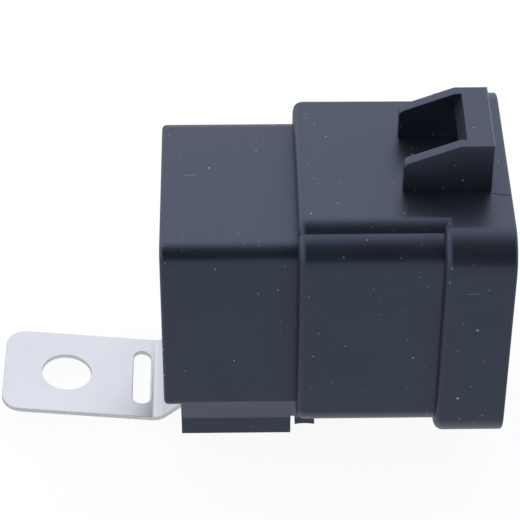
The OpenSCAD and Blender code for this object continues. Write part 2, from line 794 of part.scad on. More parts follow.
// L-shaped leaf with a window at its bend and a narrow arm for the moving contact
module contact_spring() {
    strand = leaf_w / 4;
    color(brass) relay() difference() {
        across(leaf_w) polygon(concat(leaf_side(0), reversed(leaf_side(leaf_t))));
        block([yoke_end_x - 2 * armature_t, yoke_end_x + strand],
            [-leaf_w / 2 + strand, leaf_w / 2 - strand], [leg_out_z - sink, pivot_z + strand / 2]);
        released() {
            for (side = [0, 1]) mirror([0, side, 0])
                block([leaf_x - sink, armature_x + sink], [leaf_arm_w / 2, leaf_w],
                    [armature_end_z + strip_t / 2, contact_z + leaf_w]);
            translate([leaf_x - sink, 0, contact_z]) x_cylinder(0, leaf_t + 2 * sink, contact_shank_d + 2 * seat_fit);
            at_armature_rivets() rivet_bores(leaf_t + sink);
        }
        at_yoke_rivets() rivet_bores(leaf_t + sink);
    }
}

// Contact's head, with its dome at x = 0 and its flat side at x = contact_h
module contact_head() {
    r = contact_d / 2;
    spread = asin(r / contact_dome_r);
    rotate([0, 90, 0]) rotate_extrude($fn = 48)
        polygon(concat(
            arc([0, contact_dome_r], contact_dome_r, -90, -90 + spread, rim_steps),
            [[r, contact_h], [0, contact_h]]));
}

// Hole for a fixed contact's shank through a strip at x
module contact_hole(x) {
    translate([0, 0, contact_z])
        x_cylinder(x - sink, strip_t + 2 * sink, contact_shank_d + 2 * seat_fit);
}

module moving_contact() {
    color(silver) relay() released() translate([0, 0, contact_z]) {
        translate([leaf_x - contact_h, 0, 0]) contact_head();
        x_cylinder(leaf_x - contact_h / 4, leaf_t + contact_h / 2, contact_shank_d);
        translate([armature_x + contact_h, 0, 0]) mirror([1, 0, 0]) contact_head();
    }
}

module fixed_contact_no() {
    color(silver) relay() translate([0, 0, contact_z]) {
        translate([no_face_x, 0, 0]) contact_head();
        x_cylinder(no_strip_x - contact_h / 4, strip_t + contact_h / 4, contact_shank_d);
    }
}

module fixed_contact_nc() {
    color(silver) relay() translate([0, 0, contact_z]) {
        translate([nc_face_x, 0, 0]) mirror([1, 0, 0]) contact_head();
        x_cylinder(nc_strip_x, strip_t + contact_h / 4, contact_shank_d);
    }
}

// Resistor beside the coil, standing along X
module suppression_resistor() {
    cap_l = resistor_l / 5;
    color(resistor_blue) relay() translate([0, -coil_blade_y, resistor_z]) {
        x_cylinder(resistor_x, cap_l, resistor_d);
        x_cylinder(resistor_x + cap_l / 2, resistor_l - cap_l, resistor_d * waist_ratio);
        x_cylinder(resistor_x + resistor_l - cap_l, cap_l, resistor_d);
    }
}

// Leads from the resistor's ends to the two coil terminals, the far one passing under the yoke's foot
module resistor_leads() {
    y = coil_blade_y;
    post_z = coil_blade_z - blade_w / 6 - seat_fit;
    side_z = post_z - wire_d / 2;
    hairpin_x = resistor_x - 2 * wire_bend_r;
    end_x = resistor_x + resistor_l;
    color(tin) relay() {
        wire([[resistor_x, -y, resistor_z], [hairpin_x, -y, resistor_z], [hairpin_x, -y, side_z],
            [lead_x, -y, side_z]]);
        wire([[end_x, -y, resistor_z], [lead_x, -y, resistor_z], [lead_x, y, resistor_z], [lead_x, y, post_z]]);
    }
}

housing();
mounting_bracket();
base_plate();
sealing_compound();
terminal_30();
terminal_85();
terminal_86();
terminal_87();
terminal_87a();
yoke();
iron_core();
coil_bobbin();
coil_winding();
coil_leads();
armature();
contact_spring();
moving_contact();
fixed_contact_no();
fixed_contact_nc();
yoke_rivets();
armature_rivets();
suppression_resistor();
resistor_leads();
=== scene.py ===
"""Dresses an automotive relay: its moulded housing, bent bracket, blades, coil and contact leaf."""

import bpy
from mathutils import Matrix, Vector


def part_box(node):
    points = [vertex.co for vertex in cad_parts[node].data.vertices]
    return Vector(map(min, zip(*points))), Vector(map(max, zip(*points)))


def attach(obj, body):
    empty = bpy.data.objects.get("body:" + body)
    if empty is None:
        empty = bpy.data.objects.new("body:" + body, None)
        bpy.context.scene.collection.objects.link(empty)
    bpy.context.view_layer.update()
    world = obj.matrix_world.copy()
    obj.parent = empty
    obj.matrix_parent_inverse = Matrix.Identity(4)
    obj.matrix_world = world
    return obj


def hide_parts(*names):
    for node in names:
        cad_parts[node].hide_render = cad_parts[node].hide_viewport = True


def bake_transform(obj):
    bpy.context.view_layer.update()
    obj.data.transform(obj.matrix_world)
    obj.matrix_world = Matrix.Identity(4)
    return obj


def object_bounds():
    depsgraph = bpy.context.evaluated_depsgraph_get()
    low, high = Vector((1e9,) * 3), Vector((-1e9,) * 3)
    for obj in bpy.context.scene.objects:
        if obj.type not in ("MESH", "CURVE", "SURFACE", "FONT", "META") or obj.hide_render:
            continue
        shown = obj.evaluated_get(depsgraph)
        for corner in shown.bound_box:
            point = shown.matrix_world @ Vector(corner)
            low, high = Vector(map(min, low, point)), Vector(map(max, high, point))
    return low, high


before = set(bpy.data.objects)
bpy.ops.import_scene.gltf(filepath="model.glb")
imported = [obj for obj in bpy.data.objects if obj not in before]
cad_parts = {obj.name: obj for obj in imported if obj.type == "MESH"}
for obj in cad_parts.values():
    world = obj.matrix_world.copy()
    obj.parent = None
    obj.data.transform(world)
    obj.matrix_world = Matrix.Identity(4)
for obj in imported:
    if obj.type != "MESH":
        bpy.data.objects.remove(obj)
CAD_BOX = [list(corner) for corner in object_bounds()]

from contextlib import contextmanager
from math import atan2, cos, pi, radians, sin

import bmesh
import bpy
from bpy.props import FloatProperty, FloatVectorProperty, IntProperty, PointerProperty
from mathutils import Matrix, Vector

bl_info = {
    "name": "Automotive relay",
    "version": (1, 0, 0),
    "blender": (4, 5, 0),
    "location": "3D View > Sidebar > Relay",
    "description": "Models and finishes the visible pieces of a skirted changeover relay",
    "category": "Add Mesh",
}

BODY = "relay_body"
MM = 0.001
TINY = 2e-6  # distance under which two places count as one
OVERLAP = MM  # how far a joined or cutting shape runs past the face that it meets

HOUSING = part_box("housing")
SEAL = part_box("sealing_compound")
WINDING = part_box("coil_winding")
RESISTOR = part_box("suppression_resistor")
BLADES = sorted(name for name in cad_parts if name.startswith("terminal_"))

NODE_SLOTS = {
    "housing": "black_plastic", "mounting_bracket": "plated_sheet", "base_plate": "base_plastic",
    "sealing_compound": "resin", "coil_bobbin": "bobbin_plastic", "coil_winding": "copper",
    "coil_leads": "copper", "contact_spring": "spring_bronze", "yoke": "plated_iron",
    "iron_core": "plated_iron", "armature": "plated_iron", "yoke_rivets": "plated_iron",
    "armature_rivets": "plated_iron", "moving_contact": "contact_silver",
    "fixed_contact_no": "contact_silver", "fixed_contact_nc": "contact_silver",
    "suppression_resistor": "resistor_body", "resistor_leads": "tinned_brass",
}


# ---------------------------------------------------------------- settings


def length(name, description, value):
    return FloatProperty(name=name, description=description, default=value * MM, min=0.0,
                         unit="LENGTH", subtype="DISTANCE", precision=5)


def angle(name, description, value):
    return FloatProperty(name=name, description=description, default=radians(value),
                         unit="ROTATION", subtype="ANGLE")


def number(name, description, value):
    return FloatProperty(name=name, description=description, default=value, min=0.0)


def colour(name, description, value):
    return FloatVectorProperty(name=name, description=description, default=value, size=3,
                               min=0.0, max=1.0, subtype="COLOR")


class RelayStageSettings(bpy.types.PropertyGroup):
    """Camera, floor and room"""
    azimuth: angle("Azimuth", "Turn of the camera round the relay", 0.91)
    elevation: angle("Elevation", "Height of the camera over the horizon", 41.18)
    roll: angle("Roll", "Turn of the camera about its own axis", 0.10)
    distance: length("Distance", "Distance from the camera to its aim", 323.01)
    lens: number("Lens", "Focal length on a 36 mm sensor, in millimetres", 164.41)
    aim: FloatVectorProperty(
        name="Aim", description="Where the camera looks, from the middle of the can's closed end",
        default=(13.163 * MM, 0.273 * MM, 0.097 * MM), size=3, unit="LENGTH",
        subtype="TRANSLATION", precision=6)
    floor: colour("Floor", "Colour of the floor", (0.86, 0.86, 0.86))
    sky: colour("Sky", "Colour of the room's light", (0.95, 0.97, 1.0))
    dark: number("Dark side", "Light left in the room's dark side", 0.035)
    lamp: number("Lamp", "Power of the soft lamp behind the relay, in watts", 0.12)


class RelayHousingSettings(bpy.types.PropertyGroup):
    """Sizes of the moulded housing"""
    can_length: length("Can length", "From the closed end to the shoulder", 17.8)
    can_width: length("Can width", "Across the can", 28.0)
    can_height: length("Can height", "From the can's bottom to its top", 27.8)
    can_top_radius: length("Can top radius", "Upper long edges of the can", 2.2)
    can_bottom_radius: length("Can bottom radius", "Lower long edges of the can", 1.3)
    can_end_radius: length("Can end radius", "Edge around the closed end", 0.6)
    skirt_length: length("Skirt length", "From the shoulder to the flange", 18.6)
    skirt_side: length("Skirt side", "Step out to each side of the skirt", 2.5)
    skirt_rise: length("Skirt rise", "Step up to the top of the skirt", 2.3)
    skirt_drop: length("Skirt drop", "Step down to the bottom of the skirt", 1.8)
    skirt_radius: length("Skirt radius", "Long edges of the skirt", 3.5)
    shoulder_radius: length("Shoulder radius", "Outer edge of the shoulder", 1.2)
    flange_side: length("Flange side", "Step from the can out to each side of the flange", 3.9)
    flange_rise: length("Flange rise", "Step from the can to the flange's top and bottom", 3.4)
    flange_radius: length("Flange radius", "Long edges of the flange", 4.7)
    flange_edge: length("Flange edge", "Edge of the flange towards the can", 1.2)
    mouth_radius: length("Mouth radius", "Edge of the mouth", 0.35)
    pad_width: length("Pad width", "Raised pad along the top", 27.2)
    pad_radius: length("Pad radius", "Long edge of the pad on the blade 85 side", 2.4)
    pad_far_radius: length("Pad far radius", "Long edge of the pad on the blade 86 side", 0.8)
    can_wall: length("Can wall", "Wall of the can", 1.3)
    can_bore_radius: length("Can bore radius", "Long edges inside the can", 1.0)
    skirt_wall: length("Skirt wall", "Wall of the skirt", 1.5)
    flange_wall: length("Flange wall", "Wall of the flange", 1.6)
    shoulder_wall: length("Shoulder wall", "Thickness of the shoulder", 1.7)
    edge: length("Edge", "Small radius of the latch and holder", 0.12)

    def axis(self, latch):
        """Height of the can's axis."""
        return HOUSING[1][2] - latch.high - self.flange_rise - self.can_height / 2


class RelayLatchSettings(bpy.types.PropertyGroup):
    """Sizes of the latch bridge and the bracket's holder"""
    width: length("Width", "Across the bridge", 12.6)
    reach: length("Length", "Along the bridge", 11.5)
    wall: length("Wall", "Thickness of each side wall", 1.5)
    low: length("Low end", "Height of the walls at their low end", 4.7)
    high: length("Height", "Height of the bridge over the flange", 7.4)
    setback: length("Setback", "From the bridge to the mouth", 2.6)
    bar: length("Crossbar", "Width of the crossbar along the relay", 4.3)
    bar_thickness: length("Crossbar thickness", "Height of the crossbar", 2.2)
    bar_ramp: length("Crossbar ramp", "Run of the crossbar's sloping leading face", 0.85)
    corner: length("Corner", "Low corners of the walls", 0.6)
    holder_inset: length("Holder inset", "From the closed end to the holder", 2.25)
    holder_gap: length("Holder gap", "From the holder to the shoulder", 0.6)
    holder_width: length("Holder width", "Across the holder", 24.0)
    holder_height: length("Holder height", "Height of the holder", 2.95)
    foot_height: length("Foot height", "Tapered foot between the can and the holder", 4.0)
    foot_inset: length("Foot inset", "From each side of the can to the foot", 0.7)
    foot_step: length("Foot step", "Step up from the foot's bottom beside the shoulder", 0.45)
    holder_roof: length("Holder roof", "From the holder's top down to the tab's slot", 1.1)
    lug_length: length("Lug length", "Along each stop lug", 2.7)
    lug_width: length("Lug width", "Across each stop lug", 5.0)
    lug_height: length("Lug height", "Height of each stop lug", 4.6)
    lug_hollow: length("Lug hollow", "Depth of the hollow under each lug", 0.25)
    lug_inset: length("Lug inset", "From the foot of the skirt's flat bottom to each lug", 2.0)
    line: length("Parting line", "Width of the mould's parting line", 0.12)


class RelayBracketSettings(bpy.types.PropertyGroup):
    """Sizes of the bent sheet bracket"""
    sheet: length("Sheet", "Thickness of the sheet", 0.7)
    width: length("Width", "Across the bracket", 15.8)
    plate: length("Plate", "Length of the flat plate", 21.0)
    tilt: angle("Tilt", "Rise of the plate away from the can", 6.2)
    ramp: angle("Ramp", "Slope of the ramp", 41.0)
    upper_bend: length("Upper bend", "Mean radius of the bend into the holder", 1.3)
    lower_bend: length("Lower bend", "Mean radius of the bend at the foot of the ramp", 2.4)
    corner: length("Corner", "Outer corners of the plate", 2.8)
    hole: length("Hole", "Diameter of the screw hole", 7.0)
    hole_inset: length("Hole inset", "From the plate's end to the middle of the hole", 8.8)
    slot_length: length("Slot length", "Across the bracket", 10.5)
    slot_width: length("Slot width", "Along the bracket", 2.5)
    slot_inset: length("Slot inset", "From the foot of the bend to the slot", 0.3)
    fit: length("Fit", "Gap between the tab and its slot", 0.05)
    burr: length("Rolled edge", "Radius of the cut sheet's edges", 0.12)
    steps: IntProperty(name="Bend steps", description="Facets in each bend", default=12, min=3)


class RelayInnerSettings(bpy.types.PropertyGroup):
    """Sizes of the coil, the seal and the blades' edges"""
    wire: length("Coil wire", "Pitch of the winding's outer turns", 0.3)
    blade_edge: length("Blade edge", "Broken edges of the blades", 0.06)
    meniscus: length("Meniscus", "Depth of the seal's hollow", 0.28)


class RelayFinishSettings(bpy.types.PropertyGroup):
    """Colours of the finishes"""
    plastic: colour("Plastic", "Moulded housing", (0.0185, 0.0245, 0.0325))
    speck: colour("Specks", "Dust on the housing", (0.72, 0.76, 0.80))
    flash: colour("Flash", "Thin flash left by the mould", (0.20, 0.23, 0.27))
    steel: colour("Sheet", "Plated sheet of the bracket", (0.70, 0.715, 0.765))
    # near-white cut edge tint: the bare cut, brightened as painted reflection of the floor
    edge: colour("Cut edge", "Sheared edges of the bracket", (0.97, 0.97, 0.96))
    tin: colour("Tin", "Tinned blades", (0.80, 0.79, 0.75))
    iron: colour("Iron", "Plated iron of the magnet", (0.62, 0.61, 0.57))
    copper: colour("Copper", "Enamelled winding", (0.72, 0.30, 0.12))
    bronze: colour("Bronze", "Contact leaf", (0.80, 0.58, 0.30))
    silver: colour("Silver", "Contacts", (0.90, 0.89, 0.85))
    bobbin: colour("Bobbin", "Coil bobbin", (0.72, 0.67, 0.55))
    resin: colour("Resin", "Sealing compound", (0.020, 0.019, 0.018))
    resistor: colour("Resistor", "Lacquer of the resistor", (0.16, 0.36, 0.46))


class RelaySettings(bpy.types.PropertyGroup):
    """All the settings of the relay"""
    stage: PointerProperty(type=RelayStageSettings)
    housing: PointerProperty(type=RelayHousingSettings)
    latch: PointerProperty(type=RelayLatchSettings)
    bracket: PointerProperty(type=RelayBracketSettings)
    inner: PointerProperty(type=RelayInnerSettings)
    finish: PointerProperty(type=RelayFinishSettings)


# ---------------------------------------------------------------- modelling


def select_only(*objects):
    if bpy.context.mode != "OBJECT":
        bpy.ops.object.mode_set(mode="OBJECT")
    bpy.ops.object.select_all(action="DESELECT")
    for obj in objects:
        obj.select_set(True)
        bpy.context.view_layer.objects.active = obj


def settle(name):
    """Names the new primitive and puts its place in its mesh."""
    obj = bpy.context.object
    obj.name = obj.data.name = name
    bpy.ops.object.transform_apply()
    return obj


def add_box(name, low, high):
    select_only()
    low, high = Vector(low), Vector(high)
    bpy.ops.mesh.primitive_cube_add(size=1, location=(low + high) / 2, scale=high - low)
    return settle(name)


def add_rod(name, centre, radius, depth, turn=(0.0, 0.0, 0.0), sides=64):
    select_only()
    bpy.ops.mesh.primitive_cylinder_add(vertices=sides, radius=radius, depth=depth,
                                        location=centre, rotation=turn)
    return settle(name)


@contextmanager
def editing(obj, kind="EDGE"):
    select_only(obj)
    bpy.ops.object.mode_set(mode="EDIT")
    bpy.ops.mesh.select_mode(type=kind)
    bpy.ops.mesh.select_all(action="DESELECT")
    yield
    bpy.ops.object.mode_set(mode="OBJECT")


def pick(obj, kind, test):
    """Selects the edges, faces or verts of the mesh in edit mode that pass a test."""
    shape = bmesh.from_edit_mesh(obj.data)
    found = 0
    for item in getattr(shape, kind):
        if test(item):
            item.select_set(True)
            found += 1
    bmesh.update_edit_mesh(obj.data)
    if not found:
        raise RuntimeError(f"no {kind} found on {obj.name}")


def round_edges(obj, test, radius, steps):
    if radius <= TINY:
        return
    with editing(obj):
        pick(obj, "edges", test)
        bpy.ops.mesh.bevel(offset_type="OFFSET", offset=radius, segments=steps, profile=0.5,
                           affect="EDGES", clamp_overlap=False)


def at(axis, value):
    """Test for what lies on a plane across an axis."""
    return lambda item: all(abs(v.co[axis] - value) < TINY for v in item.verts)


def corner_edge(first, second):
    """Test for an edge that lies on two planes, each given as (axis, value)."""
    return lambda edge: at(*first)(edge) and at(*second)(edge)


def either(*tests):
    return lambda item: any(test(item) for test in tests)


def cut_off(obj, point, normal):
    """Cuts away what lies beyond a plane and closes the cut."""
    with editing(obj, "FACE"):
        bpy.ops.mesh.select_all(action="SELECT")
        bpy.ops.mesh.bisect(plane_co=point, plane_no=Vector(normal).normalized(), use_fill=True,
                            clear_outer=True, threshold=TINY)


def apply_modifier(obj, kind, **settings):
    select_only(obj)
    bpy.ops.object.modifier_add(type=kind)
    modifier = obj.modifiers[-1]
    for key, value in settings.items():
        setattr(modifier, key, value)
    bpy.ops.object.modifier_apply(modifier=modifier.name)


def combine(obj, tool, operation):
    apply_modifier(obj, "BOOLEAN", object=tool, operation=operation, solver="EXACT")
    if not obj.data.polygons:
        raise RuntimeError(f"{tool.name} leaves nothing of {obj.name}")
    bpy.data.objects.remove(tool)


def weld(obj, flat=0.5):
    """Merges doubles and takes out the edges inside flat faces."""
    with editing(obj, "VERT"):
        bpy.ops.mesh.select_all(action="SELECT")
        bpy.ops.mesh.remove_doubles(threshold=TINY / 2)
        bpy.ops.mesh.dissolve_limited(angle_limit=radians(flat))


def smooth(obj, limit=32):
    select_only(obj)
    bpy.ops.object.shade_smooth_by_angle(angle=radians(limit))
    apply_modifier(obj, "WEIGHTED_NORMAL", keep_sharp=True, weight=60)


def soften(obj, radius, limit=50):
    apply_modifier(obj, "BEVEL", width=radius, segments=2, limit_method="ANGLE",
                   angle_limit=radians(limit), use_clamp_overlap=True)


def rounded_box(name, low, high, upper, lower=0.0, nose=0.0, tail=0.0, steps=8):
    """Box along X with rounded long edges, then rounded ends."""
    box = add_box(name, low, high)
    sides = (low[1], high[1])
    for level, radius in ((high[2], upper), (low[2], lower)):
        round_edges(box, either(*(corner_edge((1, y), (2, level)) for y in sides)), radius, steps)
    for end, radius in ((low[0], nose), (high[0], tail)):
        round_edges(box, at(0, end), radius, max(3, steps // 2))
    return box


def copy_of(node, name):
    """Welded copy of a CAD node's mesh as a new object."""
    obj = bpy.data.objects.new(name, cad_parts[node].data.copy())
    obj.data.name = name
    obj.data.materials.clear()
    bpy.context.scene.collection.objects.link(obj)
    for polygon in obj.data.polygons:
        polygon.use_smooth = False
    select_only(obj)
    if obj.data.has_custom_normals:
        bpy.ops.mesh.customdata_custom_splitnormals_clear()
    weld(obj)
    return obj


def dress(obj, slot, finish=None):
    """Gives a piece the finish of its slot, or another one."""
    obj.data.materials.clear()
    obj.data.materials.append(finish_of(finish or slot))


# ---------------------------------------------------------------- materials


def both_ways(operation):
    """Methods that work out two values by one operation, given in either order."""
    def forwards(self, other):
        return self.maths(operation, self, other)

    def backwards(self, other):
        return self.maths(operation, other, self)

    return forwards, backwards


class Wire:
    """A value in a material, so that sums on it read as plain maths."""

    def __init__(self, finish, socket):
        self.finish, self.socket = finish, socket

    def maths(self, operation, *values, clamp=False):
        settings = {"operation": operation, "use_clamp": clamp}
        return self.finish.node("ShaderNodeMath", settings, dict(enumerate(values)))

    __add__, __radd__ = both_ways("ADD")
    __sub__, __rsub__ = both_ways("SUBTRACT")
    __mul__, __rmul__ = both_ways("MULTIPLY")
    __gt__, __lt__ = both_ways("GREATER_THAN")

    def held(self):
        """The value kept from 0 to 1."""
        return self.maths("ADD", self, 0.0, clamp=True)


class Shading:
    """A node tree under construction."""

    def __init__(self, owner):
        owner.use_nodes = True
        self.tree = owner.node_tree
        self.tree.nodes.clear()

    def node(self, kind, settings=None, inputs=None, output=0):
        node = self.tree.nodes.new(kind)
        for key, value in (settings or {}).items():
            setattr(node, key, value)
        for key, value in (inputs or {}).items():
            if isinstance(value, Wire):
                self.tree.links.new(value.socket, node.inputs[key])
            else:
                node.inputs[key].default_value = value
        return Wire(self, node.outputs[output]) if output is not None else node

    def ramp(self, value, low, high):
        """Runs from 0 to 1 while a value runs from low to high."""
        return self.node("ShaderNodeMapRange", {"interpolation_type": "SMOOTHSTEP"},
                         {"Value": value, "From Min": low, "From Max": high})

    def end_in(self, kind, shader):
        self.tree.links.new(shader.socket, self.node(kind, output=None).inputs["Surface"])


class Finish(Shading):
    """A material under construction."""

    def __init__(self, name):
        self.material = bpy.data.materials.new(name + "_finish")
        super().__init__(self.material)
        self.place = self.node("ShaderNodeTexCoord", output="Object")

    def spread(self, scale=(1.0, 1.0, 1.0), turn=(0.0, 0.0, 0.0), shift=(0.0, 0.0, 0.0)):
        """The place on the piece, scaled, turned and shifted."""
        return self.node("ShaderNodeMapping", inputs={
            "Vector": self.place, "Scale": scale, "Rotation": turn, "Location": shift})

    def along(self):
        """Distance along X."""
        return self.node("ShaderNodeSeparateXYZ", inputs={0: self.place}, output="X")

    def noise(self, scale, detail, roughness, place=None):
        return self.node("ShaderNodeTexNoise", inputs={
            "Vector": place or self.place, "Scale": scale, "Detail": detail,
            "Roughness": roughness})

    def mix(self, share, first, second):
        factor, a, b, result = 0, 6, 7, 2
        return self.node("ShaderNodeMix", {"data_type": "RGBA"}, {
            factor: share, a: self.tint(first), b: self.tint(second)}, output=result)

    @staticmethod
    def tint(value):
        return value if isinstance(value, Wire) else (*value, 1.0)

    def bump(self, height, strength, distance, under=None):
        """Relief of a depth in millimetres, over another where one is given."""
        inputs = {"Height": height, "Strength": strength, "Distance": distance * MM}
        if under:
            inputs["Normal"] = under
        return self.node("ShaderNodeBump", inputs=inputs)

    def shaded(self, share, tint, darkest):
        """The tint, darkened towards a share of itself."""
        return self.mix(share, [darkest * c for c in tint], tint)

    def close(self, **inputs):
        """Ends the material in the plain surface shader, with its inputs by name."""
        named = {key.replace("_", " "): value for key, value in inputs.items()}
        self.end_in("ShaderNodeOutputMaterial", self.node("ShaderNodeBsdfPrincipled", inputs=named))
        return self.material

    def dots(self, pitch, radius, shift, stretch=1.0, turn=(0.0, 0.0, 0.0)):
        """Specks of mixed sizes, drawn out into hairs by a stretch; pitch and radius in mm."""
        cells = self.node("ShaderNodeTexVoronoi", output=None, inputs={
            "Vector": self.spread((1 / stretch, 1.0, 1.0), turn, shift),
            "Scale": 1 / (pitch * MM)})
        near = Wire(self, cells.outputs["Distance"])
        chance = self.node("ShaderNodeSeparateColor",
                           inputs={0: Wire(self, cells.outputs["Color"])}, output=None)
        reach = radius / pitch * (0.55 + 0.9 * Wire(self, chance.outputs[1]))
        return (near < reach) * (0.35 + 0.65 * Wire(self, chance.outputs[0]))


def moulded_plastic(name, tint, speck, matt=0.36, dust=1.0):
    """Matt injection-moulded plastic with a fine spark-eroded grain, dust and fibres."""
    f = Finish(name)
    broad = f.noise(90, 4.0, 0.6)
    grain = f.noise(5200, 2.0, 0.6)
    coarse = f.noise(1400, 3.0, 0.55)
    dark, light = [0.90 * c for c in tint], [1.14 * c for c in tint]
    bright = f.dots(3.2 / dust, 0.140, (0.071, 0.043, 0.011))
    fine = f.dots(1.9 / dust, 0.110, (0.013, 0.002, 0.031))
    haze = f.dots(0.9 / dust, 0.065, (0.009, 0.057, 0.023))
    hairs = f.dots(2.0 / dust, 0.070, (0.01, 0.02, 0.05), 11.0, (0.3, 0.2, 0.35))
    lint = (bright + fine * 0.55 + haze * 0.20 + hairs * 0.30).held()
    skin = f.bump(coarse * 0.35 + grain * 0.65, 0.55, 0.012)
    return f.close(
        Base_Color=f.mix(lint, f.mix(f.ramp(broad, 0.35, 0.70), dark, light), speck),
        Roughness=matt + 0.10 * (broad - 0.5) + 0.25 * lint,
        Normal=f.bump(lint, 0.5, 0.02, skin),
        IOR=1.93, Specular_Tint=(0.57, 0.66, 1.0, 1.0))


def sheet_metal(name, tint, rough, worn=1.0, bend=None):
    """Rolled or stamped metal with a directional lay, faint stains and fine scratches."""
    f = Finish(name)
    lines = f.noise(1.0, 4.0, 0.65, f.spread((300, 7000, 3000)))
    cloud = f.noise(160, 4.0, 0.6)
    marks = f.dots(1.3 / worn, 0.035, (0.02, 0.01, 0.0), 16.0, (0.1, 0.2, 0.5))
    cross = f.dots(1.9 / worn, 0.035, (0.05, 0.03, 0.0), 14.0, (0.2, 0.1, -0.9))
    wear = (marks + cross).held()
    base = f.shaded(f.ramp(cloud, 0.30, 0.75), tint, 0.93)
    if bend is not None:
        # painted shade at the bracket's bend, with spots of press tool marks
        base = bend_shade_and_tool_marks(f, base, bend)
    return f.close(
        Base_Color=base, Metallic=1.0,
        Roughness=rough + 0.10 * (lines - 0.5) + 0.07 * (cloud - 0.5) + 0.12 * wear,
        Normal=f.bump(lines - wear * 0.6, 0.25, 0.002))


def bend_shade_and_tool_marks(f, base, bend):
    """Painted shade over the bracket's bend: a darker tint that starts just before the bend and
    covers the ramp side, and a dark line along the bend, broken by spots that stand for the press
    tool's marks.
    """
    ramp_shade_tint, bend_shade_tint = (0.66, 0.668, 0.69), (0.50, 0.48, 0.40)
    reach, half_line = 1.6 * MM, 0.25 * MM
    along = f.along()
    # painted shade: the ramp side of the bend darker than the plate
    inner = f.ramp(along, bend - reach, bend + 0.2 * MM)
    # painted shade line along the bend; the noise spots on it stand for press tool marks
    line = f.ramp(along, bend - half_line, bend) * (1 - f.ramp(along, bend, bend + half_line))
    spots = line * f.ramp(f.noise(420, 2.0, 0.5), 0.52, 0.60)
    return f.mix(line * 0.25 + spots * 0.5, f.mix(inner * 0.6, base, ramp_shade_tint), bend_shade_tint)


def sheared_metal_with_painted_sheen(name, tint):
    """Bright grey cut through the sheet, smooth where it was sheared and rough where it broke; the
    cut is real, but its near-white tint is painted reflection, standing in for the white floor that
    these edges would mirror.
    """
    f = Finish(name)
    torn = f.noise(1.0, 3.0, 0.6, f.spread((2500, 2500, 900)))
    return f.close(
        Base_Color=f.shaded(f.ramp(torn, 0.35, 0.7), tint, 0.90), Metallic=1.0,
        Roughness=0.15 + 0.12 * torn, Normal=f.bump(torn, 0.4, 0.006))


def enamelled_copper(name, tint):
    f = Finish(name)
    turns = f.noise(700, 3.0, 0.6, f.spread((4.0, 1.0, 1.0)))
    return f.close(
        Base_Color=f.shaded(f.ramp(turns, 0.3, 0.7), tint, 0.72), Metallic=1.0,
        Roughness=0.24 + 0.16 * turns, Coat_Weight=0.4, Coat_Roughness=0.15)


def sealing_resin(name, tint):
    f = Finish(name)
    waves = f.noise(240, 3.0, 0.5)
    dust, dust_tint = f.dots(1.4, 0.06, (0.02, 0.04, 0.01)), (0.25, 0.24, 0.22)
    return f.close(
        Base_Color=f.mix(dust * 0.5, tint, dust_tint),
        Roughness=0.20 + 0.12 * waves + 0.3 * dust,
        Normal=f.bump(waves, 0.4, 0.08), IOR=1.55)


def pale_plastic(name, tint):
    f = Finish(name)
    swirl = f.noise(260, 4.0, 0.6)
    grain = f.noise(4200, 2.0, 0.5)
    return f.close(
        Base_Color=f.shaded(f.ramp(swirl, 0.35, 0.7), tint, 0.92),
        Roughness=0.42 + 0.1 * (swirl - 0.5), Normal=f.bump(grain, 0.4, 0.01),
        Subsurface_Weight=0.05, IOR=1.5)


def banded_lacquer(name, tint):
    """Glossy lacquer with plain rings round the resistor."""
    f = Finish(name)
    start, span = RESISTOR[0][0], RESISTOR[1][0] - RESISTOR[0][0]
    half_ring = 0.035 * span
    along = f.along()
    runs = f.noise(500, 2.0, 0.5)
    base = f.shaded(runs, tint, 0.85)
    brown, red, black, gold = ((0.25, 0.10, 0.04), (0.55, 0.04, 0.03), (0.03, 0.03, 0.03),
                               (0.60, 0.42, 0.10))
    for share, ring in ((0.14, brown), (0.36, red), (0.54, black), (0.80, gold)):
        middle = start + share * span
        base = f.mix((along > middle - half_ring) * (along < middle + half_ring), base, ring)
    return f.close(Base_Color=base, Roughness=0.22 + 0.1 * runs, Coat_Weight=0.5,
                   Normal=f.bump(runs, 0.3, 0.03))


def bend_line():
    """Place along X of the foot of the bracket's bend."""
    b = bpy.context.scene.relay.bracket
    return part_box("mounting_bracket")[0][0] + b.plate * cos(b.tilt) + b.sheet * sin(b.tilt)


def make_finishes():
    """Every finish, by the name of its slot."""
    look = bpy.context.scene.relay.finish
    tint = {key: tuple(getattr(look, key)) for key in look.__annotations__}
    recipes = (
        (moulded_plastic, "black_plastic", "plastic", {"speck": tint["speck"]}),
        (moulded_plastic, "mould_flash", "flash",
         {"speck": tint["speck"], "matt": 0.5, "dust": 0.3}),
        (moulded_plastic, "base_plastic", "plastic",
         {"speck": tint["speck"], "matt": 0.34, "dust": 0.3}),
        (sheet_metal, "plated_sheet", "steel", {"rough": 0.29, "bend": bend_line()}),
        (sheared_metal_with_painted_sheen, "sheared_edge", "edge", {}),
        (sealing_resin, "resin", "resin", {}),
        (sheet_metal, "tinned_brass", "tin", {"rough": 0.38, "worn": 0.8}),
        (sheet_metal, "plated_iron", "iron", {"rough": 0.36, "worn": 0.6}),
        (pale_plastic, "bobbin_plastic", "bobbin", {}),
        (enamelled_copper, "copper", "copper", {}),
        (sheet_metal, "spring_bronze", "bronze", {"rough": 0.28, "worn": 0.5}),
        (sheet_metal, "contact_silver", "silver", {"rough": 0.22, "worn": 0.4}),
        (banded_lacquer, "resistor_body", "resistor", {}),
    )
    return {slot: make(slot, tint[key], **settings) for make, slot, key, settings in recipes}


def finish_of(slot):
    return bpy.data.materials[slot + "_finish"]


# ---------------------------------------------------------------- pieces


class RELAY_OT_finishes(bpy.types.Operator):
    """Makes the finishes and puts one on each solid of the frame"""
    bl_idname = "relay.finishes"
    bl_label = "Finishes"

    def execute(self, context):
        made = make_finishes()
        for name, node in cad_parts.items():
            node.data.materials.clear()
            node.data.materials.append(made[NODE_SLOTS.get(name, "tinned_brass")])
        return {"FINISHED"}


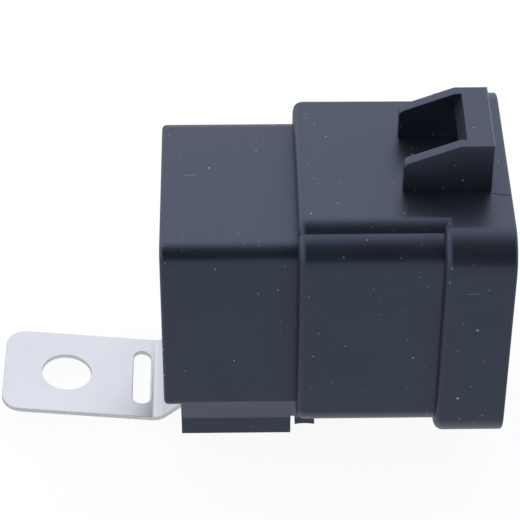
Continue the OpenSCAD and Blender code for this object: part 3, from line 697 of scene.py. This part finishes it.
class RELAY_OT_housing(bpy.types.Operator):
    """Models the moulded housing with its latch bridge and bracket holder"""
    bl_idname = "relay.housing"
    bl_label = "Housing"

    def execute(self, context):
        settings = context.scene.relay
        h, k = settings.housing, settings.latch
        self.measure(h, k)
        body = self.moulding(h)
        self.add_latch(body, h, k)
        self.add_holder(body, h, k)
        self.add_lugs(body, h, k)
        self.hollow(body, h)
        self.cut_tab_slot(body, h, k, settings.bracket)
        self.cut_parting_line(body, k)
        weld(body)
        smooth(body)
        dress(body, "black_plastic")
        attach(body, BODY)
        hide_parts("housing")
        return {"FINISHED"}

    def measure(self, h, k):
        """Places along, across and up the relay that the housing's forms share."""
        (self.end, _, _), (self.mouth, _, self.peak) = HOUSING
        self.axis = h.axis(k)
        self.top = self.axis + h.can_height / 2
        self.bottom = self.axis - h.can_height / 2
        self.deck = self.top + h.flange_rise
        self.skirt_bottom = self.bottom - h.skirt_drop
        self.shoulder = self.end + h.can_length
        self.flange = self.shoulder + h.skirt_length
        self.half_can = h.can_width / 2
        self.half_skirt = self.half_can + h.skirt_side
        self.half_flange = self.half_can + h.flange_side

    def moulding(self, h):
        """Can, skirt, rim and raised pad in one."""
        body = rounded_box(
            "housing_moulding", (self.end, -self.half_can, self.bottom),
            (self.shoulder + OVERLAP, self.half_can, self.top), h.can_top_radius,
            h.can_bottom_radius, nose=h.can_end_radius, steps=12)
        under_rim = self.flange + h.flange_edge + OVERLAP
        skirt = rounded_box(
            "skirt", (self.shoulder, -self.half_skirt, self.skirt_bottom),
            (under_rim, self.half_skirt, self.top + h.skirt_rise), h.skirt_radius,
            h.skirt_radius, nose=h.shoulder_radius, steps=12)
        rim = rounded_box(
            "rim", (self.flange, -self.half_flange, self.bottom - h.flange_rise),
            (self.mouth, self.half_flange, self.deck), h.flange_radius, h.flange_radius,
            nose=h.flange_edge, tail=h.mouth_radius, steps=14)
        half_pad = h.pad_width / 2
        pad = rounded_box(
            "pad", (self.shoulder, -half_pad, self.axis), (under_rim, half_pad / 2, self.deck),
            h.pad_radius, nose=h.shoulder_radius, steps=10)
        far_pad = add_box("far_pad", (self.shoulder, 0, self.axis),
                          (under_rim, half_pad, self.deck))
        nose = corner_edge((0, self.shoulder), (2, self.deck))
        round_edges(far_pad, nose, h.shoulder_radius, 5)
        round_edges(far_pad, at(1, half_pad), h.pad_far_radius, 4)
        for mass in (skirt, rim, pad, far_pad):
            combine(body, mass, "UNION")
        return body

    def add_latch(self, body, h, k):
        """Two side walls that slope up to a crossbar."""
        right = self.mouth - k.setback
        left = right - k.reach
        bar = right - k.bar
        rise = (self.peak - self.deck) - k.low
        run = bar - left - k.corner
        half = k.width / 2
        for side in (-1, 1):
            inner, outer = sorted((side * (half - k.wall), side * half))
            wall = add_box("wall", (left, inner, self.deck - OVERLAP), (right, outer, self.peak))
            cut_off(wall, (bar, 0, self.peak), (-rise, 0, run))
            low_end = max(v.co.z for v in wall.data.vertices if abs(v.co.x - left) < TINY)
            round_edges(wall, corner_edge((0, left), (2, low_end)), k.corner, 5)
            soften(wall, h.edge)
            combine(body, wall, "UNION")
        inset = half - 3 * h.edge
        beam = add_box("beam", (bar, -inset, self.peak - k.bar_thickness),
                       (right, inset, self.peak))
        cut_off(beam, (bar + k.bar_ramp, 0, self.peak), (-k.bar_thickness, 0, k.bar_ramp))
        combine(body, beam, "UNION")

    def add_holder(self, body, h, k):
        """Block on a foot that tapers in under the can, cut back beside the shoulder."""
        left, gap = self.end + k.holder_inset, self.shoulder - k.holder_gap
        half = k.holder_width / 2
        root = self.bottom + h.can_wall / 2
        lean = (self.half_can - k.foot_inset - half) / k.foot_height
        waist = self.bottom - k.foot_height
        foot = add_box("foot", (left, -half, waist), (self.shoulder + OVERLAP, half, root))
        with editing(foot, "FACE"):
            pick(foot, "faces", at(2, root))
            spread = 1 + lean * (root - waist) / half
            bpy.ops.transform.resize(value=(1, spread, 1), center_override=(left, 0, waist))
        block = add_box("block", (left, -half, waist - k.holder_height), (gap, half, waist))
        soften(block, h.edge)
        combine(body, foot, "UNION")
        notch = add_box("notch", (gap, -half - OVERLAP, waist - OVERLAP),
                        (self.shoulder, half + OVERLAP, waist + k.foot_step))
        combine(body, notch, "DIFFERENCE")
        combine(body, block, "UNION")

    def add_lugs(self, body, h, k):
        """Stop lugs behind the holder, with a hollowed underside."""
        low = self.skirt_bottom - k.lug_height
        hollow_radius, across = 2 * k.lug_length, (pi / 2, 0, 0)
        for side in (-1, 1):
            y = side * (self.half_skirt - h.skirt_radius - k.lug_inset - k.lug_width / 2)
            lug = add_box(
                "lug", (self.shoulder, y - k.lug_width / 2, low),
                (self.shoulder + k.lug_length, y + k.lug_width / 2, self.skirt_bottom + OVERLAP))
            centre = (self.shoulder + k.lug_length / 2, y, low - hollow_radius + k.lug_hollow)
            hollow = add_rod("hollow", centre, hollow_radius, 2 * k.lug_width, across, sides=128)
            combine(lug, hollow, "DIFFERENCE")
            soften(lug, h.edge)
            combine(body, lug, "UNION")

    def hollow(self, body, h):
        """Bores the can, the skirt and the rim, each to its own wall."""
        bore = self.shoulder + h.shoulder_wall
        mouth = self.mouth + OVERLAP
        cavities = (  # from, to, half width, rise, drop, wall, radius
            (self.end + h.can_wall, bore + OVERLAP, self.half_can, 0.0, 0.0,
             h.can_wall, h.can_bore_radius),
            (bore, mouth, self.half_skirt, h.skirt_rise, h.skirt_drop,
             h.skirt_wall, h.skirt_radius - h.skirt_wall),
            (self.flange + h.flange_wall, mouth, self.half_flange, h.flange_rise, h.flange_rise,
             h.flange_wall, h.flange_radius - h.flange_wall),
        )
        for left, right, half, rise, drop, wall, radius in cavities:
            cavity = rounded_box("bore", (left, wall - half, self.bottom - drop + wall),
                                 (right, half - wall, self.top + rise - wall), radius, radius)
            combine(body, cavity, "DIFFERENCE")

    def cut_tab_slot(self, body, h, k, b):
        """Slot in the holder that the bracket's tab is pushed into."""
        half = b.width / 2 + b.fit
        top = self.bottom - k.foot_height - k.holder_roof
        slot = add_box(
            "slot", (self.end + k.holder_inset - OVERLAP, -half, top - b.sheet - 2 * b.fit),
            (self.shoulder - k.holder_gap - h.can_wall + b.fit, half, top))
        combine(body, slot, "DIFFERENCE")

    def cut_parting_line(self, body, k):
        """Fine groove that the mould's slide leaves from the latch to the mouth."""
        near, far = k.width / 2 + 0.5 * MM, k.width / 2 + MM
        run = k.setback + OVERLAP
        select_only()
        bpy.ops.mesh.primitive_cube_add(
            size=1, location=(self.mouth - k.setback + run / 2, -(near + far) / 2, self.deck),
            rotation=(0, 0, -atan2(far - near, k.setback)), scale=(run, k.line, k.line))
        combine(body, settle("line"), "DIFFERENCE")


class RELAY_OT_bracket(bpy.types.Operator):
    """Bends the mounting bracket out of sheet and cuts its hole and slot"""
    bl_idname = "relay.bracket"
    bl_label = "Mounting bracket"

    def execute(self, context):
        b, k = context.scene.relay.bracket, context.scene.relay.latch
        low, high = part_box("mounting_bracket")
        half = b.sheet / 2
        tab_z = high[2] - half
        bend = Vector((HOUSING[0][0] + k.holder_inset + b.fit + half, 0, tab_z - b.upper_bend))
        foot_z = low[2] + half + b.lower_bend
        ramp_way, ramp_up = self.slope(-b.ramp)
        plate_way, plate_up = self.slope(b.tilt)
        ramp_top = bend + b.upper_bend * ramp_up
        ramp = (ramp_top.z - foot_z + b.lower_bend * cos(b.ramp)) / sin(b.ramp)
        foot = ramp_top + ramp * ramp_way + b.lower_bend * ramp_up
        plate_foot = foot - b.lower_bend * plate_up
        plate_end = plate_foot + b.plate * plate_way
        strip = add_box("mounting_bracket_sheet", (bend.x, -b.width / 2, tab_z - half),
                        (high[0], b.width / 2, tab_z + half))
        self.carry_on(strip, bend.x, b.steps, [
            ("bend", bend, b.ramp), ("run", ramp * ramp_way),
            ("bend", foot, -b.ramp - b.tilt), ("run", b.plate * plate_way)])

        def outer_corner(edge):
            ends = [v.co for v in edge.verts]
            return (all(abs((end - plate_end).dot(plate_way)) < TINY for end in ends)
                    and abs(ends[0].y - ends[1].y) < TINY)

        def cut_face(face):
            return abs(face.normal.y) > 0.7 or (
                face.calc_center_median().x < plate_foot.x
                and abs(face.normal.dot(plate_up)) < 0.5)

        round_edges(strip, outer_corner, b.corner, 12)
        turn = (0, b.tilt, 0)
        hole = plate_end - b.hole_inset * plate_way
        combine(strip, add_rod("hole", hole, b.hole / 2, 4 * b.sheet, turn, sides=72),
                "DIFFERENCE")
        slot = plate_foot + (b.slot_inset + b.slot_width / 2) * plate_way
        combine(strip, self.slot_cutter(b, slot), "DIFFERENCE")
        weld(strip, 0.2)
        soften(strip, b.burr)
        smooth(strip, 40)
        dress(strip, "plated_sheet")
        # the cut faces get the edge finish whose bright tint is painted reflection
        strip.data.materials.append(finish_of("sheared_edge"))
        strip.active_material_index = 1
        with editing(strip, "FACE"):
            pick(strip, "faces", cut_face)
            bpy.ops.object.material_slot_assign()
        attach(strip, BODY)
        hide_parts("mounting_bracket")
        return {"FINISHED"}

    def slope(self, tilt):
        """Directions along a sheet that runs away from the can at a tilt, and up from it."""
        return Vector((-cos(tilt), 0, sin(tilt))), Vector((sin(tilt), 0, cos(tilt)))

    def carry_on(self, strip, start, steps, moves):
        """Extrudes and spins the strip's open end along straights and bends."""
        with editing(strip, "FACE"):
            pick(strip, "faces", at(0, start))
            for kind, *move in moves:
                if kind == "run":
                    bpy.ops.mesh.extrude_region_move(TRANSFORM_OT_translate={"value": move[0]})
                else:
                    bpy.ops.mesh.spin(steps=steps, angle=move[1], center=move[0], axis=(0, 1, 0))
        with editing(strip, "VERT"):
            bpy.ops.mesh.select_all(action="SELECT")
            bpy.ops.mesh.remove_doubles(threshold=TINY / 2)
            bpy.ops.mesh.normals_make_consistent(inside=False)

    def slot_cutter(self, b, middle):
        """Cutter with fully rounded ends: a drum stretched across the sheet."""
        cutter = add_rod("slot", (0, 0, 0), b.slot_width / 2, 4 * b.sheet)
        reach = (b.slot_length - b.slot_width) / 2
        for vertex in cutter.data.vertices:
            vertex.co.y += reach if vertex.co.y > TINY else -reach
        cutter.matrix_world = Matrix.Translation(middle) @ Matrix.Rotation(b.tilt, 4, "Y")
        select_only(cutter)
        return settle("slot_cutter")


class RELAY_OT_terminals(bpy.types.Operator):
    """Breaks the edges of the five blades"""
    bl_idname = "relay.terminals"
    bl_label = "Blades"

    def execute(self, context):
        edge = context.scene.relay.inner.blade_edge
        for node in BLADES:
            blade = copy_of(node, node + "_blade")
            soften(blade, edge, 30)
            smooth(blade, 35)
            dress(blade, "tinned_brass")
            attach(blade, BODY)
            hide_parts(node)
        return {"FINISHED"}


class RELAY_OT_seal(bpy.types.Operator):
    """Pours the sealing compound, with a hollow that climbs the walls and the blades"""
    bl_idname = "relay.seal"
    bl_label = "Sealing compound"

    def execute(self, context):
        hollow = context.scene.relay.inner.meniscus
        low, high = SEAL
        corner = 2.0 * MM
        rings = ((0.15, 0.42), (0.20, 0.26), (0.30, 0.17), (0.50, 0.10), (0.90, 0.05))
        pool = rounded_box("sealing_pool", low, high, corner, corner)
        with editing(pool, "FACE"):
            pick(pool, "faces", at(0, high[0]))
            for inset, share in rings:
                bpy.ops.mesh.inset(thickness=inset * MM, depth=0)
                bpy.ops.transform.translate(value=(-share * hollow, 0, 0))
        select_only(*[self.add_collar(node, low, high, hollow) for node in BLADES], pool)
        bpy.ops.object.join()
        smooth(pool, 40)
        dress(pool, "resin")
        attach(pool, BODY)
        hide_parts("sealing_compound")
        return {"FINISHED"}

    def add_collar(self, node, low, high, hollow):
        """Tapered foot of compound round one blade."""
        tip, tip_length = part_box(node)[1][0], 3 * MM
        points = [v.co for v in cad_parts[node].data.vertices if v.co.x > tip - tip_length]
        reach = 0.45 * MM
        near = [min(p[i] for p in points) for i in (1, 2)]
        far = [max(p[i] for p in points) for i in (1, 2)]
        top = high[0] - 0.25 * hollow
        collar = add_box("collar", ((low[0] + high[0]) / 2, near[0] - reach, near[1] - reach),
                         (top, far[0] + reach, far[1] + reach))
        round_edges(collar, at(0, top), 0.3 * MM, 3)
        return collar


class RELAY_OT_coil(bpy.types.Operator):
    """Winds the coil out of single turns over a sleeve"""
    bl_idname = "relay.coil"
    bl_label = "Coil winding"

    def execute(self, context):
        wire = context.scene.relay.inner.wire
        low, high = WINDING
        span = high[0] - low[0]
        turns = int(span / wire)
        pitch = span / turns
        centre = (Vector(low) + Vector(high)) / 2
        radius = (high[2] - low[2]) / 2
        select_only()
        bpy.ops.mesh.primitive_torus_add(
            location=(low[0] + pitch / 2, centre.y, centre.z), rotation=(0, pi / 2, 0),
            major_segments=48, minor_segments=8, major_radius=radius - pitch / 2,
            minor_radius=pitch / 2)
        coil = settle("coil_turns")
        apply_modifier(coil, "ARRAY", count=turns, use_relative_offset=False,
                       use_constant_offset=True, constant_offset_displace=(pitch, 0, 0))
        sleeve_radius = radius - 0.62 * pitch
        sleeve = add_rod("sleeve", centre, sleeve_radius, span, (0, pi / 2, 0), sides=48)
        select_only(sleeve, coil)
        bpy.ops.object.join()
        coil = bpy.context.object
        coil.name = coil.data.name = "coil_turns"
        smooth(coil, 60)
        dress(coil, "copper")
        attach(coil, BODY)
        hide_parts("coil_winding")
        return {"FINISHED"}


class RELAY_OT_leaf(bpy.types.Operator):
    """Copies the contact leaf from the CAD spring and gives it its finish"""
    bl_idname = "relay.leaf"
    bl_label = "Contact leaf"

    def execute(self, context):
        leaf = copy_of("contact_spring", "contact_leaf")
        smooth(leaf, 30)
        dress(leaf, "spring_bronze")
        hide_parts("contact_spring")
        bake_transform(leaf)
        return {"FINISHED"}


class RELAY_OT_flash(bpy.types.Operator):
    """Leaves a thin, uneven line of mould flash along the crossbar"""
    bl_idname = "relay.flash"
    bl_label = "Mould flash"

    def execute(self, context):
        k = context.scene.relay.latch
        mouth, _, peak = HOUSING[1]
        right = mouth - k.setback
        half = k.width / 2 - 0.1 * MM
        depth, out, up = 0.09 * MM, 0.03 * MM, 0.02 * MM
        fin = add_box("crossbar_flash", (right - depth, -half, peak - depth),
                      (right + out, half, peak + up))
        with editing(fin):
            pick(fin, "edges", lambda e: abs(e.verts[0].co.y - e.verts[1].co.y) > MM)
            bpy.ops.mesh.subdivide(number_cuts=40)
        for vertex in fin.data.vertices:
            y = vertex.co.y
            vertex.co.x += 0.035 * MM * (sin(y * 2900) + sin(y * 7100 + 1.3)) / 2
            vertex.co.z += 0.015 * MM * sin(y * 4300 + 0.7)
        smooth(fin, 30)
        dress(fin, "black_plastic", "mould_flash")
        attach(fin, BODY)
        return {"FINISHED"}


# ---------------------------------------------------------------- stage


class RELAY_OT_stage(bpy.types.Operator):
    """Sets up the floor, the room, the lamp and the camera"""
    bl_idname = "relay.stage"
    bl_label = "Stage"

    def execute(self, context):
        s = context.scene.relay.stage
        self.add_floor(s)
        self.set_room(s)
        self.add_lamp(s)
        self.add_camera(s, context.scene.relay.housing.axis(context.scene.relay.latch))
        context.scene.view_settings.view_transform = "Standard"
        return {"FINISHED"}

    def add_floor(self, s):
        """Near-white to the camera, with the relay's shadow on it, and plain to all else."""
        select_only()
        gap = 0.02 * MM
        bpy.ops.mesh.primitive_plane_add(size=6.0, location=(0, 0, CAD_BOX[0][2] - gap))
        floor = settle("floor")
        f = Finish("floor")
        glow_strength, faint = 0.93, (0.12, 0.12, 0.12, 1.0)
        seen = f.node("ShaderNodeLightPath", output="Is Camera Ray")
        plain = f.node("ShaderNodeBsdfDiffuse", inputs={"Color": (*s.floor, 1.0)})
        glow = f.node("ShaderNodeEmission", inputs={"Strength": glow_strength})
        shade = f.node("ShaderNodeBsdfDiffuse", inputs={"Color": faint})
        white = f.node("ShaderNodeAddShader", inputs={0: glow, 1: shade})
        both = f.node("ShaderNodeMixShader", inputs={0: seen, 1: plain, 2: white})
        f.end_in("ShaderNodeOutputMaterial", both)
        floor.data.materials.append(f.material)
        floor.visible_glossy = False

    def set_room(self, s):
        """White to the eye; lit all round but for a dark side that gives edges their shape."""
        world = bpy.data.worlds.new("room")
        bpy.context.scene.world = world
        w = Shading(world)
        way = w.node("ShaderNodeTexCoord", output="Generated")
        parts = w.node("ShaderNodeSeparateXYZ", inputs={0: way}, output=None)
        across, height = Wire(w, parts.outputs["X"]), Wire(w, parts.outputs["Z"])
        ahead = 1 - self.away_from(w, way, elevation=30, inner=32, outer=88)
        sides = w.ramp(across.maths("ABSOLUTE", across), 0.40, 0.80)
        shade = ahead * (1 - sides) * w.ramp(height, -0.25, 0.20)
        below = 1 - w.ramp(height, -0.25, 0.0)
        underneath = 1 - w.ramp(height, -0.98, -0.75)
        dimmed, regained = 0.50, 0.28
        light = (1 - (1 - s.dark) * shade) * (1 - below * (dimmed - regained * underneath))
        room = w.node("ShaderNodeBackground", inputs={"Color": (*s.sky, 1.0), "Strength": light})
        white = w.node("ShaderNodeBackground", inputs={"Color": (1, 1, 1, 1)})
        seen = w.node("ShaderNodeLightPath", output="Is Camera Ray")
        through = w.node("ShaderNodeLightPath", output="Is Transmission Ray")
        both = w.node("ShaderNodeMixShader", inputs={0: (seen + through).held(), 1: room, 2: white})
        w.end_in("ShaderNodeOutputWorld", both)

    def away_from(self, w, way, elevation, inner, outer):
        """Runs from 0 to 1 as a direction turns away from one in front, in degrees."""
        front = (0, -cos(radians(elevation)), sin(radians(elevation)))
        facing = w.node("ShaderNodeVectorMath", {"operation": "DOT_PRODUCT"}, {0: way, 1: front},
                        output="Value")
        return w.ramp(facing, cos(radians(inner)), cos(radians(outer)))

    def add_lamp(self, s):
        """Soft square lamp behind and above the relay, turned to its middle."""
        place, target = Vector((0.05, 0.42, 0.40)), Vector((0, 0, 0.02))
        data = bpy.data.lights.new("back_softbox", "AREA")
        data.shape, data.size, data.energy, data.color = "SQUARE", 0.50, s.lamp, s.sky
        lamp = bpy.data.objects.new("back_softbox", data)
        bpy.context.scene.collection.objects.link(lamp)
        lamp.location = place
        lamp.rotation_mode = "QUATERNION"
        lamp.rotation_quaternion = (target - place).to_track_quat("-Z", "Y")

    def add_camera(self, s, axis):
        back = Vector((-sin(s.azimuth) * cos(s.elevation), -cos(s.azimuth) * cos(s.elevation),
                       sin(s.elevation)))
        right = Vector((cos(s.azimuth), -sin(s.azimuth), 0))
        up = back.cross(right)
        side = right * cos(s.roll) + up * sin(s.roll)
        top = up * cos(s.roll) - right * sin(s.roll)
        camera = bpy.data.objects.new("camera", bpy.data.cameras.new("camera"))
        camera.data.lens, camera.data.sensor_width = s.lens, 36.0
        camera.data.clip_start = 0.01
        turn = Matrix((side, top, back)).transposed().to_4x4()
        aim = Vector((HOUSING[0][0], 0, axis)) + Vector(s.aim)
        camera.matrix_world = Matrix.Translation(aim + s.distance * back) @ turn
        bpy.context.scene.collection.objects.link(camera)
        bpy.context.scene.camera = camera


class RELAY_PT_panel(bpy.types.Panel):
    """Lists the relay's pieces and settings"""
    bl_idname = "RELAY_PT_panel"
    bl_label = "Automotive relay"
    bl_space_type = "VIEW_3D"
    bl_region_type = "UI"
    bl_category = "Relay"

    def draw(self, context):
        for operator in OPERATORS:
            self.layout.operator(operator.bl_idname)
        for key in RelaySettings.__annotations__:
            box = self.layout.box()
            box.label(text=key.capitalize())
            group = getattr(context.scene.relay, key)
            for name in group.__annotations__:
                box.prop(group, name)


SETTINGS = (RelayStageSettings, RelayHousingSettings, RelayLatchSettings, RelayBracketSettings,
            RelayInnerSettings, RelayFinishSettings, RelaySettings)
OPERATORS = (RELAY_OT_stage, RELAY_OT_finishes, RELAY_OT_housing, RELAY_OT_flash, RELAY_OT_bracket,
             RELAY_OT_seal, RELAY_OT_terminals, RELAY_OT_coil, RELAY_OT_leaf)


def register():
    for item in (*SETTINGS, *OPERATORS, RELAY_PT_panel):
        bpy.utils.register_class(item)
    bpy.types.Scene.relay = PointerProperty(type=RelaySettings)


def unregister():
    del bpy.types.Scene.relay
    for item in reversed((*SETTINGS, *OPERATORS, RELAY_PT_panel)):
        bpy.utils.unregister_class(item)


def main():
    register()
    for operator in OPERATORS:
        group, name = operator.bl_idname.split(".")
        getattr(getattr(bpy.ops, group), name)()
    select_only()


if __name__ == "__main__":
    main()
